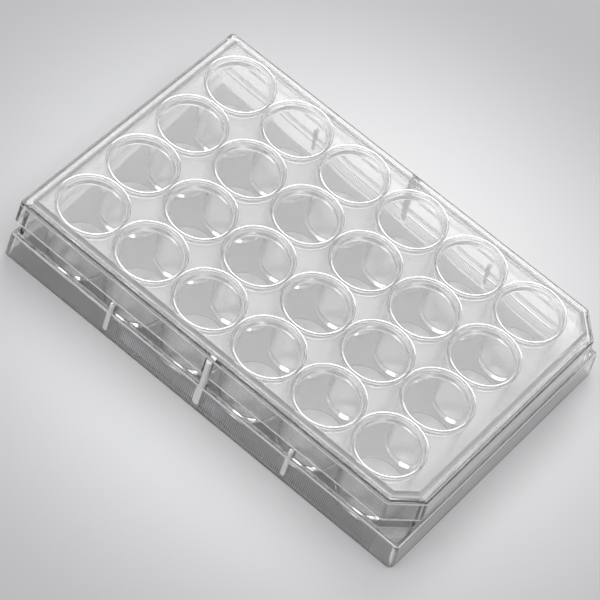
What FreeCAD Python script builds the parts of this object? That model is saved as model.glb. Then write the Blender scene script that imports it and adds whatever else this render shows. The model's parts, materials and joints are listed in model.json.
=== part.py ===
"""Twenty-four well culture plate with a lift-off lid.

Two mouldings in clear polystyrene. The plate is one piece: a deck with six by four tapered wells
hanging from it, a drafted body wall round the deck, and a wider skirt flange that stands on the bench.
The lid is one piece: a shallow tray turned over, whose ledge rests on the plate's rim.

Frame: +Z up, +X along the long side towards the two cut lid corners, origin at the middle of the
footprint on the plane that the skirt stands on. Millimetres and degrees.
"""
import FreeCAD, Part
import os

import Sketcher
from FreeCAD import Placement, Vector

DIMENSIONS = [
    # Footprint and heights of the plate.
    ("base_length", 127.76),
    ("base_width", 85.48),
    ("plate_height", 20.2),
    # Skirt flange: the wide lower band of the outer wall.
    ("flange_height", 8.6),
    ("flange_wall", 1.3),
    ("flange_draft", 3.2),
    ("flange_corner_radius", 1.5),
    ("flange_edge_radius", 0.4),
    # Body wall: the narrower upper band, which the lid goes over. Its outline is set where it meets
    # the underside of the flange's ledge.
    ("body_half_length", 62.17),
    ("body_half_width", 40.8),
    ("body_cut_corner", 6.2),
    ("body_corner_radius", 1.2),
    ("body_wall", 1.2),
    ("body_draft", 3.0),
    ("rim_width", 1.2),
    # Deck: a plain sheet between the wells, a little below the rim.
    ("deck_recess", 0.6),
    ("deck_thickness", 1.6),
    # Wells.
    ("well_pitch", 19.3),
    ("columns", 6),
    ("rows", 4),
    ("grid_shift", -1.76),
    ("mouth_radius", 8.13),
    ("floor_radius", 7.81),
    ("well_depth", 17.4),
    ("well_floor_thickness", 1.27),
    ("well_rim_radius", 9.1),
    ("well_outer_radius", 9.05),
    ("well_foot_radius", 8.85),
    # Upright ribs on the long sides. The middle one is a key that the lid's notch drops over.
    ("rib_face", 42.7),
    ("rib_root", 40.15),
    ("rib_bottom", 1.9),
    ("rib_top", 11.7),
    ("rib_half_width", 0.65),
    ("rib_west", -30.0),
    ("rib_east", 28.4),
    ("key_half_width", 0.95),
    ("key_top", 19.6),
    # Lid.
    ("lid_half_length", 63.6),
    ("lid_half_width", 42.1),
    ("lid_bottom", 13.5),
    ("lid_draft", 4.0),
    ("lid_wall", 1.1),
    ("lid_cut_corner", 7.1),
    ("lid_corner_radius", 1.6),
    ("lid_shoulder_radius", 0.9),
    ("lid_ledge_top", 21.3),
    ("lid_ledge_thickness", 0.9),
    ("lid_top", 22.45),
    ("panel_half_length", 60.8),
    ("panel_half_width", 39.75),
    ("panel_cut_corner", 5.0),
    ("panel_corner_radius", 1.0),
    ("panel_step_draft", 35.0),
    ("panel_edge_radius", 0.25),
    ("panel_thickness", 1.5),
    ("panel_wall", 0.9),
    ("panel_inner_draft", 10.0),
    # Condensation rings under the lid, one over each well.
    ("ring_outer_radius", 9.6),
    ("ring_inner_radius", 8.95),
    ("ring_depth", 0.6),
    ("ring_taper", 0.08),
    ("ring_root", 0.3),
    # Spacer nibs under the lid's ledge hold it off the rim and let air through.
    ("nib_height", 0.2),
    ("nib_half_length", 0.9),
    ("nib_width", 1.6),
    ("nib_sink", 0.3),
    # Notch in the lid's skirt for the plate's key.
    ("notch_half_width", 1.3),
    ("notch_top", 20.0),
    ("notch_depth", 4.0),
]

doc = FreeCAD.newDocument("culture_plate")
sheet = doc.addObject("Spreadsheet::Sheet", "dims")
for row, (alias, value) in enumerate(DIMENSIONS, start=1):
    sheet.set(f"A{row}", alias)
    sheet.set(f"B{row}", str(value))
    sheet.setAlias(f"B{row}", alias)
doc.recompute()

ALIASES = {alias for alias, _ in DIMENSIONS}

# An inset outline's 45 degree cut is shorter by this share of the inset.
CUT_SHARE = "( 2 - sqrt( 2 ) )"
# A rib's round end, as a share of its half width: just under 1 leaves the sketch a short flat.
ROUND_END = "0.98"
# Centre of the well at the grid's first corner.
FIRST_X = "grid_shift - well_pitch * ( columns - 1 ) / 2"
FIRST_Y = "-1 * well_pitch * ( rows - 1 ) / 2"


def bound(formula):
    """Turn a formula in bare dimension names into one that reads the sheet's cells."""
    words = []
    for word in formula.replace("(", "( ").replace(")", " )").split():
        words.append(f"dims.{word}" if word in ALIASES else word)
    return " ".join(words)


def measure(formula):
    """The present value of a formula in dimension names."""
    return float(sheet.evalExpression(bound(formula)))


def origin_feature(body, role):
    """The body's own origin plane or axis with this role."""
    return next(item for item in body.Origin.OriginFeatures if item.Role == role)


def sketch_on(body, name, role, offset):
    """An empty sketch on an origin plane, moved by formulas along the plane's own x, y and normal."""
    sketch = body.newObject("Sketcher::SketchObject", name)
    sketch.AttachmentSupport = [(origin_feature(body, role), "")]
    sketch.MapMode = "FlatFace"
    for axis, formula in zip("xyz", offset):
        if formula != "0":
            sketch.setExpression(f"AttachmentOffset.Base.{axis}", bound(formula))
    return sketch


def hold_vertex(sketch, edge, name, across, up):
    """Fix the start of an edge at two formulas, measured from the sketch's origin."""
    for kind, axis_line, formula in (("DistanceX", -2, across), ("DistanceY", -1, up)):
        if formula == "0":
            sketch.addConstraint(Sketcher.Constraint("PointOnObject", edge, 1, axis_line))
        else:
            value = measure(formula)
            index = sketch.addConstraint(Sketcher.Constraint(kind, -1, 1, edge, 1, value))
            sketch.renameConstraint(index, f"{name}_{kind}")
            sketch.setExpression(f"Constraints.{name}_{kind}", bound(formula))


def draw_polygon(sketch, corners):
    """Draw a closed polygon. A corner is (x formula, y formula) or, to round it, has a radius too."""
    points = [Vector(measure(corner[0]), measure(corner[1]), 0) for corner in corners]
    count = len(points)
    for index, point in enumerate(points):
        sketch.addGeometry(Part.LineSegment(point, points[(index + 1) % count]), False)
    for index in range(count):
        sketch.addConstraint(Sketcher.Constraint("Coincident", index, 2, (index + 1) % count, 1))
    for index, corner in enumerate(corners):
        hold_vertex(sketch, index, f"corner_{index}", corner[0], corner[1])
    for index, corner in enumerate(corners):
        if len(corner) == 3:
            before = (index - 1) % count
            near_before = (points[before] + points[index]) * 0.5
            near_after = (points[index] + points[(index + 1) % count]) * 0.5
            radius = measure(corner[2])
            sketch.fillet(before, index, near_before, near_after, radius, True, True)
            arc = next(
                item for item in range(sketch.GeometryCount - 1, -1, -1)
                if isinstance(sketch.Geometry[item], Part.ArcOfCircle)
            )
            name = f"round_{index}"
            constraint = sketch.addConstraint(Sketcher.Constraint("Radius", arc, radius))
            sketch.renameConstraint(constraint, name)
            sketch.setExpression(f"Constraints.{name}", bound(corner[2]))


def rectangle(half_x, half_y, radius):
    """Corners of a rectangle about the origin, all rounded alike."""
    return [
        (f"-1 * ( {half_x} )", f"-1 * ( {half_y} )", radius),
        (half_x, f"-1 * ( {half_y} )", radius),
        (half_x, half_y, radius),
        (f"-1 * ( {half_x} )", half_y, radius),
    ]


def cut_rectangle(half_x, half_y, cut, radius):
    """Corners of a rectangle about the origin whose two +X corners are cut at 45 degrees."""
    return [
        (f"-1 * ( {half_x} )", f"-1 * ( {half_y} )", radius),
        (f"{half_x} - ( {cut} )", f"-1 * ( {half_y} )", radius),
        (half_x, f"-1 * ( {half_y} - ( {cut} ) )", radius),
        (half_x, f"{half_y} - ( {cut} )", radius),
        (f"{half_x} - ( {cut} )", half_y, radius),
        (f"-1 * ( {half_x} )", half_y, radius),
    ]


def extrude(body, kind, name, sketch, length, draft="0", reverse=False):
    """Pad or pocket a sketch by a formula, drawn in by the draft angle as it goes."""
    feature = body.newObject(f"PartDesign::{kind}", name)
    feature.Profile = sketch
    feature.Reversed = reverse
    feature.setExpression("Length", bound(length))
    if draft != "0":
        feature.setExpression("TaperAngle", bound(f"-1 * {draft}"))
    return feature


def turn(body, kind, name, sketch):
    """Revolve or groove a sketch a full turn about its own upright axis."""
    feature = body.newObject(f"PartDesign::{kind}", name)
    feature.Profile = sketch
    feature.ReferenceAxis = (sketch, ["V_Axis"])
    feature.Angle = 360
    return feature


def over_the_grid(body, name, originals):
    """Repeat features from the first well's place over every column and row."""
    pattern = body.newObject("PartDesign::LinearPattern", name)
    pattern.Originals = originals
    pattern.Direction = (origin_feature(body, "X_Axis"), [""])
    pattern.Direction2 = (origin_feature(body, "Y_Axis"), [""])
    pattern.setExpression("Length", bound("well_pitch * ( columns - 1 )"))
    pattern.setExpression("Length2", bound("well_pitch * ( rows - 1 )"))
    pattern.setExpression("Occurrences", bound("columns"))
    pattern.setExpression("Occurrences2", bound("rows"))
    body.Tip = pattern
    return pattern


def mirrored(body, name, originals, role):
    """Repeat features on the other side of an origin plane."""
    mirror = body.newObject("PartDesign::Mirrored", name)
    mirror.Originals = originals
    mirror.MirrorPlane = (origin_feature(body, role), [""])
    body.Tip = mirror
    return mirror


def at_height(formula):
    """A test for the edges that lie flat at a height."""
    level = measure(formula)
    return lambda box: max(abs(box.ZMin - level), abs(box.ZMax - level)) < 0.01


def round_edges(body, name, feature, radius, chosen):
    """Fillet the edges of a feature whose bounding boxes pass a test."""
    doc.recompute()
    names = []
    for index, edge in enumerate(feature.Shape.Edges, start=1):
        if chosen(edge.BoundBox):
            names.append(f"Edge{index}")
    fillet = body.newObject("PartDesign::Fillet", name)
    fillet.Base = (feature, names)
    fillet.setExpression("Radius", bound(radius))
    return fillet


def make_plate():
    """Flange and body wall, hollowed from below, then the wells hung in the hollow."""
    body = doc.addObject("PartDesign::Body", "plate")
    body.Label = "plate"
    ledge_underside = "flange_height - flange_wall"
    deck_top = "plate_height - deck_recess"
    deck_underside = "plate_height - deck_recess - deck_thickness"

    flange_outline = sketch_on(body, "flange_outline", "XY_Plane", ("0", "0", "0"))
    draw_polygon(flange_outline, rectangle("base_length / 2", "base_width / 2", "flange_corner_radius"))
    flange = extrude(body, "Pad", "flange", flange_outline, "flange_height", "flange_draft")
    round_edges(body, "flange_rim_round", flange, "flange_edge_radius", at_height("flange_height"))

    body_outline = sketch_on(body, "body_outline", "XY_Plane", ("0", "0", ledge_underside))
    draw_polygon(
        body_outline,
        cut_rectangle("body_half_length", "body_half_width", "body_cut_corner", "body_corner_radius"),
    )
    body_height = f"plate_height - ( {ledge_underside} )"
    extrude(body, "Pad", "body_wall", body_outline, body_height, "body_draft")

    # Ribs on the long sides: two short ones rise just past the ledge, the key goes up to the rim.
    short_ribs = []
    for name, centre in (("rib_west_side", "rib_west"), ("rib_east_side", "rib_east")):
        short_ribs.append(rib(body, name, centre, "rib_half_width", "rib_top"))
    key = rib(body, "key_side", "0", "key_half_width", "key_top")
    mirrored(body, "ribs_both_sides", short_ribs + [key], "XZ_Plane")

    # Hollow below the ledge, then the narrower hollow up to the deck.
    lower_outline = sketch_on(body, "lower_hollow_outline", "XY_Plane", ("0", "0", "0"))
    draw_polygon(
        lower_outline,
        rectangle(
            "base_length / 2 - flange_wall",
            "base_width / 2 - flange_wall",
            "flange_corner_radius / 2",
        ),
    )
    extrude(body, "Pocket", "lower_hollow", lower_outline, ledge_underside, "flange_draft", True)
    upper_outline = sketch_on(body, "upper_hollow_outline", "XY_Plane", ("0", "0", ledge_underside))
    draw_polygon(
        upper_outline,
        cut_rectangle(
            "body_half_length - body_wall",
            "body_half_width - body_wall",
            f"body_cut_corner - {CUT_SHARE} * body_wall",
            "body_corner_radius / 2",
        ),
    )
    upper_height = f"{deck_underside} - ( {ledge_underside} )"
    extrude(body, "Pocket", "upper_hollow", upper_outline, upper_height, "body_draft", True)

    # The deck lies below the rim that the lid rests on. The wall's draft has drawn the rim in.
    drawn_in = f"( {body_height} ) * tan( body_draft )"
    recess_outline = sketch_on(body, "recess_outline", "XY_Plane", ("0", "0", "plate_height"))
    draw_polygon(
        recess_outline,
        cut_rectangle(
            f"body_half_length - {drawn_in} - rim_width",
            f"body_half_width - {drawn_in} - rim_width",
            f"body_cut_corner - {CUT_SHARE} * ( {drawn_in} + rim_width )",
            "body_corner_radius / 2",
        ),
    )
    extrude(body, "Pocket", "deck_recess_cut", recess_outline, "deck_recess")

    # One well at the grid's first corner: its outside is a solid of revolution, its inside a groove.
    # Its edges stay sharp here, because the mould rounds them by less than half a millimetre.
    well_floor = "plate_height - well_depth"
    mid_deck = f"{deck_underside} + deck_thickness / 2"
    outside = sketch_on(body, "well_outside", "XZ_Plane", (FIRST_X, "0", f"-1 * ( {FIRST_Y} )"))
    draw_polygon(
        outside,
        [
            ("0", f"{well_floor} - well_floor_thickness"),
            ("well_foot_radius", f"{well_floor} - well_floor_thickness"),
            ("well_outer_radius", deck_underside),
            ("well_rim_radius", mid_deck),
            ("well_rim_radius", "plate_height"),
            ("0", "plate_height"),
        ],
    )
    wells = turn(body, "Revolution", "well_shells", outside)
    over_the_grid(body, "all_well_shells", [wells])

    inside = sketch_on(body, "well_inside", "XZ_Plane", (FIRST_X, "0", f"-1 * ( {FIRST_Y} )"))
    draw_polygon(
        inside,
        [
            ("0", well_floor),
            ("floor_radius", well_floor),
            ("mouth_radius", "plate_height"),
            ("mouth_radius", "plate_height + deck_recess"),
            ("0", "plate_height + deck_recess"),
        ],
    )
    bores = turn(body, "Groove", "well_bores", inside)
    over_the_grid(body, "all_well_bores", [bores])
    return body


def rib(body, name, centre, half_width, top):
    """An upright rib on the -Y side with a round lower end, from the body wall out to the rib's face."""
    outline = sketch_on(body, f"{name}_outline", "XZ_Plane", (centre, "0", "rib_root"))
    draw_polygon(
        outline,
        [
            (f"-1 * {half_width}", "rib_bottom", f"{ROUND_END} * {half_width}"),
            (half_width, "rib_bottom", f"{ROUND_END} * {half_width}"),
            (half_width, top),
            (f"-1 * {half_width}", top),
        ],
    )
    return extrude(body, "Pad", name, outline, "rib_face - rib_root")


def make_lid():
    """Tray turned over: skirt and ledge, a raised panel, rings and spacer nibs below."""
    body = doc.addObject("PartDesign::Body", "lid")
    body.Label = "lid"
    ledge_underside = "lid_ledge_top - lid_ledge_thickness"

    skirt_outline = sketch_on(body, "skirt_outline", "XY_Plane", ("0", "0", "lid_bottom"))
    draw_polygon(
        skirt_outline,
        cut_rectangle("lid_half_length", "lid_half_width", "lid_cut_corner", "lid_corner_radius"),
    )
    skirt = extrude(body, "Pad", "skirt", skirt_outline, "lid_ledge_top - lid_bottom", "lid_draft")

    round_edges(body, "shoulder_round", skirt, "lid_shoulder_radius", at_height("lid_ledge_top"))

    panel_outline = sketch_on(body, "panel_outline", "XY_Plane", ("0", "0", "lid_ledge_top"))
    draw_polygon(
        panel_outline,
        cut_rectangle("panel_half_length", "panel_half_width", "panel_cut_corner", "panel_corner_radius"),
    )
    panel = extrude(body, "Pad", "panel", panel_outline, "lid_top - lid_ledge_top", "panel_step_draft")
    round_edges(body, "panel_rim_round", panel, "panel_edge_radius", at_height("lid_top"))

    # Hollow of the skirt up to the ledge, then the hollow of the panel.
    inner_outline = sketch_on(body, "skirt_hollow_outline", "XY_Plane", ("0", "0", "lid_bottom"))
    draw_polygon(
        inner_outline,
        cut_rectangle(
            "lid_half_length - lid_wall",
            "lid_half_width - lid_wall",
            f"lid_cut_corner - {CUT_SHARE} * lid_wall",
            "lid_corner_radius / 2",
        ),
    )
    skirt_height = f"{ledge_underside} - lid_bottom"
    extrude(body, "Pocket", "skirt_hollow", inner_outline, skirt_height, "lid_draft", True)
    panel_hollow = sketch_on(body, "panel_hollow_outline", "XY_Plane", ("0", "0", ledge_underside))
    draw_polygon(
        panel_hollow,
        cut_rectangle(
            "panel_half_length - panel_wall",
            "panel_half_width - panel_wall",
            f"panel_cut_corner - {CUT_SHARE} * panel_wall",
            "panel_corner_radius / 2",
        ),
    )
    panel_height = f"lid_top - panel_thickness - ( {ledge_underside} )"
    extrude(body, "Pocket", "panel_hollow", panel_hollow, panel_height, "panel_inner_draft", True)

    # Notches in the long sides, for the plate's keys.
    notch_start = "lid_half_width - notch_depth / 2"
    notch_outline = sketch_on(body, "notch_outline", "XZ_Plane", ("0", "0", notch_start))
    draw_polygon(
        notch_outline,
        [
            ("-1 * notch_half_width", "lid_bottom - lid_wall"),
            ("notch_half_width", "lid_bottom - lid_wall"),
            ("notch_half_width", "notch_top", "lid_wall / 2"),
            ("-1 * notch_half_width", "notch_top", "lid_wall / 2"),
        ],
    )
    notch = extrude(body, "Pocket", "notch", notch_outline, "notch_depth", "0", True)
    mirrored(body, "notch_both_sides", [notch], "XZ_Plane")

    # Spacer nibs: on each long side in line with the two outer columns at each end, and on each
    # short side in line with the outer rows.
    nib_y = "lid_half_width - lid_wall - nib_width / 2 - nib_sink"
    nib_x = "lid_half_length - lid_wall - nib_width / 2 - nib_sink"
    last_column = "( columns - 1 ) / 2"
    next_column = "( columns - 3 ) / 2"
    places = (f"-1 * {last_column}", f"-1 * {next_column}", next_column, last_column)
    for number, place in enumerate(places, start=1):
        centre = f"grid_shift + {place} * well_pitch"
        pad = nib(body, f"side_nib_{number}", centre, f"-1 * ( {nib_y} )", "nib_half_length", "nib_width / 2")
        mirrored(body, f"side_nib_{number}_pair", [pad], "XZ_Plane")
    for side, sign in (("west", "-1"), ("east", "1")):
        centre = f"{sign} * ( {nib_x} )"
        pad = nib(body, f"end_nib_{side}", centre, FIRST_Y, "nib_width / 2", "nib_half_length")
        mirrored(body, f"end_nib_{side}_pair", [pad], "XZ_Plane")

    # Condensation rings.
    panel_underside = "lid_top - panel_thickness"
    section = sketch_on(body, "ring_section", "XZ_Plane", (FIRST_X, "0", f"-1 * ( {FIRST_Y} )"))
    draw_polygon(
        section,
        [
            ("ring_inner_radius + ring_taper", f"{panel_underside} - ring_depth", "ring_taper"),
            ("ring_outer_radius - ring_taper", f"{panel_underside} - ring_depth", "ring_taper"),
            ("ring_outer_radius", f"{panel_underside} + ring_root"),
            ("ring_inner_radius", f"{panel_underside} + ring_root"),
        ],
    )
    ring = turn(body, "Revolution", "ring", section)
    over_the_grid(body, "rings", [ring])
    return body


def nib(body, name, centre_x, centre_y, half_x, half_y):
    """A flat spacer nib on the underside of the lid's ledge, sunk a little into it."""
    underside = "lid_ledge_top - lid_ledge_thickness"
    place = (centre_x, centre_y, f"{underside} - nib_height")
    outline = sketch_on(body, f"{name}_outline", "XY_Plane", place)
    draw_polygon(
        outline,
        [
            (f"-1 * ( {half_x} )", f"-1 * ( {half_y} )"),
            (half_x, f"-1 * ( {half_y} )"),
            (half_x, half_y),
            (f"-1 * ( {half_x} )", half_y),
        ],
    )
    return extrude(body, "Pad", name, outline, "nib_height + nib_sink")


parts = [make_plate(), make_lid()]
for part in parts:
    part.Placement = Placement()
doc.recompute()

for item in doc.Objects:
    if "Invalid" in item.State or "Error" in item.State:
        raise RuntimeError(f"{item.Name} did not compute: {item.State}")
for part in parts:
    shape = part.Shape
    if shape.isNull() or not shape.isValid() or len(shape.Solids) != 1:
        raise RuntimeError(f"{part.Label} is not one valid solid")

os.makedirs("parts", exist_ok=True)
for part in parts:
    part.Shape.exportStep(f"parts/{part.Label}.step")
    box = part.Shape.BoundBox
    print(
        f"{part.Label}: volume {part.Shape.Volume:.0f} mm3,"
        f" x {box.XMin:.2f} to {box.XMax:.2f}, y {box.YMin:.2f} to {box.YMax:.2f},"
        f" z {box.ZMin:.2f} to {box.ZMax:.2f}"
    )
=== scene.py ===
import json
import math

import bmesh
import bpy
import numpy as np
from mathutils import Matrix, Vector


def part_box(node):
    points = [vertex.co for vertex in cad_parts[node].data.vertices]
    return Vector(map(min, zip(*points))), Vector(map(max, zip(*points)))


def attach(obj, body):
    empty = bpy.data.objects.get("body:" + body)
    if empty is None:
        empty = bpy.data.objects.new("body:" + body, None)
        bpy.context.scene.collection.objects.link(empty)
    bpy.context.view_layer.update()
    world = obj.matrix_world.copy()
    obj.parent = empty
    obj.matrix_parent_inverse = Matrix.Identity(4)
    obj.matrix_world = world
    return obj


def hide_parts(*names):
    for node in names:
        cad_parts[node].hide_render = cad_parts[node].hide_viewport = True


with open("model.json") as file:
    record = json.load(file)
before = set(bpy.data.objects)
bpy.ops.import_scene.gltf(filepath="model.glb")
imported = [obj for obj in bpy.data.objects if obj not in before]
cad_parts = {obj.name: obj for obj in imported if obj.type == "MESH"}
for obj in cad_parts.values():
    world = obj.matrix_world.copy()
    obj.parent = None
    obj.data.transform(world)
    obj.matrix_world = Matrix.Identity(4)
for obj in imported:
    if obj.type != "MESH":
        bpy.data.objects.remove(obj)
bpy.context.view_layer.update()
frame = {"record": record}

bl_info = {
    "name": "Culture Plate",
    "version": (1, 0, 0),
    "blender": (4, 5, 0),
    "location": "View3D > Sidebar > Culture Plate",
    "description": "Builds a clear twenty-four well culture plate, its lid and the studio round them",
    "category": "Object",
}

# ---------------------------------------------------------------- the frame
PLATE_LOW, PLATE_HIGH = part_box("plate")
LID_LOW, LID_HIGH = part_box("lid")
WELLS = np.array([np.mean(o["box_m"], axis=0)[:2] for o in frame["record"]["physics"]["openings"]])
WELL_XS, WELL_YS = (np.unique(WELLS[:, axis].round(6)) for axis in (0, 1))
PITCH = np.diff(WELL_XS)[0]

# ---------------------------------------------------------------- fixed numbers
MM = 0.001
# An outline's 45 degree cut gets shorter by this share of an inset, and an arc of 45 degrees has
# this tangent length for a radius of 1. A square corner keeps a flat of the least cut.
CUT_SHARE = 2.0 - math.sqrt(2.0)
ARC_TANGENT = math.tan(math.radians(22.5))
LEAST_CUT, LEAST_RADIUS = 0.04 * MM, 0.5 * MM
# Points on each 45 degree arc of an outline, steps round a well and across a groove, steps on the
# roundings of a well, the flange's top, the shoulder, the foot and the rings, rows of a rib's end.
ARC_POINTS, WELL_STEPS, GROOVE_STEPS = 5, 96, 4
WELL_ARC, FLANGE_ARC, SHOULDER_ARC, FOOT_ARC, RING_ARC, RIB_END_ROWS = 4, 4, 6, 1, 2, 5
MERGE_DISTANCE, SAME_HEIGHT = 1e-6, 1e-9
SHARP_ANGLE = math.radians(38.0)
# Beyond this sum of x and |y| the wells' grid is cut back, to clear the wall at the cut corners.
GRID_CORNER_SUM = 93.9 * MM
# Reaches at which the borders give way to the wells' grid: deck, lid's top and lid's underside.
DECK_BORDER, LID_BORDER, LID_UNDER_BORDER = 38.8 * MM, 38.7 * MM, 38.65 * MM
# Columns of the borders, those on a feature as shares of its half width, and the gap that columns
# keep from a feature's edge. Points along and across the panel's flat.
PLATE_STATIONS, LID_STATIONS = (np.linspace(-59.0, 54.4, count) * MM for count in (36, 28))
SHORT_STATIONS = np.linspace(-33.4, 33.4, 15) * MM
ACROSS_RIB = np.linspace(-0.9, 0.9, 9)
ACROSS_NOTCH = np.array([-0.9, -0.75, 0.75, 0.9])
COLUMN_GAP = 0.03 * MM
PANEL_GRID = (19, 13)
# Places of the two short ribs. Grip grooves: places of the first and the last, heights of their
# ends, and the height in which they run out.
RIB_WEST, RIB_EAST = -30.0 * MM, 28.4 * MM
GRIP_WEST, GRIP_EAST = -26.7 * MM, 56.7 * MM
GRIP_HIGH, GRIP_LOW, GRIP_RAMP = 7.5 * MM, 1.15 * MM, 0.25 * MM
# Plate: flat strips beside the folds of the ledge, the foot's outer and inner edge and a well,
# roundings of the body's root and the deck's underside, and share of the rounding at the foot.
LEDGE_STRIP, FOOT_OUTER, FOOT_INNER, WELL_STRIP = 0.6 * MM, 0.5 * MM, 0.4 * MM, 0.5 * MM
BODY_ROOT, DECK_ROOT, FOOT_SHARE = 0.25 * MM, 0.2 * MM, 0.4
# Lid: flat strips outside the step, before the skirt's rows and outside the hollow, plain height
# over the notch, and roundings of the step's top and root and of the hollow's edge and root.
STEP_STRIP, SKIRT_STRIP, HOLLOW_STRIP, NOTCH_MARGIN = 0.4 * MM, 0.8 * MM, 0.12 * MM, 0.3 * MM
STEP_TOP, STEP_ROOT, HOLLOW_EDGE, HOLLOW_ROOT = 0.25 * MM, 0.12 * MM, 0.1 * MM, 0.02 * MM
# Painted highlights, as milky lines, in millimetres: two limits off a reach, then two off a height.
# Depth of a rib's painted highlight, and what a matt face may be off its height.
FLANGE_HIGHLIGHT, HEM_HIGHLIGHT = (-0.8, 0.0, -0.25, 0.01), (-0.3, 0.02, -0.01, 0.45)
SHOULDER_HIGHLIGHT, STEP_HIGHLIGHT = (-0.7, 0.0, -1.4, -0.9), (-0.95, 0.15, -0.05, 1.16)
RIB_HIGHLIGHT_DEPTH, FACE_PLAY = 1.1 * MM, 0.02 * MM
# Noise of haze, ripples and handling marks: scale and detail. Levels of the haze's noise, height
# of the marks, and share of a seed that shifts the noise along Y.
HAZE_NOISE, RIPPLE_NOISE, MARK_NOISE = (90.0, 5.0), (130.0, 1.0), (1400.0, 3.0)
HAZE_LEVELS, MARK_HEIGHT, SEED_SHARE = (0.45, 0.8), 0.0003 * MM, 0.37
PLATE_SEED, LID_SEED = 0.013, 0.071
FLOOR_RADIUS, FLOOR_SIDES = 4.0, 96
# Softboxes: place, direction of the first side, and size, in metres.
WINDOW = ((-0.319, 0.725, 1.031), (0.915, 0.403, 0.0), (0.62, 0.46))
OVERHEAD = ((0.05, -0.05, 1.3), (1.0, 0.0, 0.0), (1.5, 1.5))
# The point that the camera looks at, on the lid's ledge.
CAMERA_TARGET = (4.025 * MM, -11.975 * MM, 21.2 * MM)


def length(name, description, millimetres):
    """A property for a length, with its default in millimetres."""
    return bpy.props.FloatProperty(
        name=name, description=description, default=millimetres * MM, min=0.0, precision=5,
        subtype="DISTANCE", unit="LENGTH",
    )


def slope(name, description, degrees):
    """A property for an angle, with its default in degrees."""
    return bpy.props.FloatProperty(
        name=name, description=description, default=math.radians(degrees), subtype="ANGLE",
        unit="ROTATION",
    )


def number(name, description, value, low=0.0, high=1.0):
    """A property for a plain number."""
    return bpy.props.FloatProperty(
        name=name, description=description, default=value, min=low, max=high, precision=4
    )


def colour(name, description, value):
    """A property for a linear colour."""
    return bpy.props.FloatVectorProperty(
        name=name, description=description, default=value, size=3, min=0.0, max=1.0, subtype="COLOR"
    )


class PlateSizes(bpy.types.PropertyGroup):
    """Sizes of the plate."""

    flange_height: length("Flange height", "Height of the wide lower band", 8.6)
    flange_wall: length("Flange wall", "Thickness of the flange and its ledge", 1.3)
    flange_draft: slope("Flange draft", "Lean of the flange's faces", 3.2)
    flange_corner: length("Flange corner", "Radius of the flange's upright corners", 1.5)
    flange_edge: length("Flange edge", "Rounding of the flange's top edge", 0.4)
    body_reach: length("Body half width", "Half width of the body wall at the ledge", 40.8)
    body_excess: length("Body excess", "Half length less half width of the body wall", 21.37)
    body_cut: length("Body cut", "Length that a cut corner takes off each side", 6.2)
    body_corner: length("Body corner", "Radius of the body wall's upright corners", 1.2)
    body_wall: length("Body wall", "Thickness of the body wall", 1.2)
    body_draft: slope("Body draft", "Lean of the body wall", 3.0)
    rim_width: length("Rim width", "Width of the rim that the lid rests on", 1.2)
    deck_recess: length("Deck recess", "Depth of the deck below the rim", 0.6)
    deck_thickness: length("Deck thickness", "Thickness of the sheet between the wells", 1.6)
    mouth_radius: length("Mouth radius", "Inner radius of a well at its mouth", 8.13)
    floor_radius: length("Floor radius", "Inner radius of a well at its floor", 7.81)
    well_depth: length("Well depth", "Depth of a well", 17.4)
    floor_thickness: length("Floor thickness", "Thickness of a well's floor", 1.27)
    well_rim: length("Well rim", "Outer radius of the raised rim round a well", 9.1)
    well_outer: length("Well outer radius", "Outer radius of a well under the deck", 9.05)
    well_foot: length("Well foot radius", "Outer radius of a well at its floor", 8.85)
    well_round: length("Well rounding", "Rounding of a well's lower edges", 0.5)
    mouth_round: length("Mouth rounding", "Rounding of a well's mouth", 0.25)
    root_round: length("Root rounding", "Rounding where a well meets the deck", 0.4)
    rib_face: length("Rib face", "Distance of the ribs' faces from the middle plane", 42.7)
    rib_bottom: length("Rib foot", "Height of the ribs' rounded lower ends", 1.9)
    rib_top: length("Rib top", "Height of the short ribs' top ends", 11.7)
    rib_half_width: length("Rib half width", "Half the width of a short rib", 0.65)
    key_half_width: length("Key half width", "Half the width of the key in the middle", 0.95)
    key_top: length("Key top", "Height of the key's top end", 19.6)
    rib_edge_share: number("Rib edge", "Share of its depth that a rib has at its edges", 0.35)
    grip_pitch: length("Grip pitch", "Distance between grip grooves", 0.55)
    grip_depth: length("Grip depth", "Depth of the grip grooves", 0.16)
    edge_round: length("Edge rounding", "Smallest rounding left by the mould", 0.14)


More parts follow.
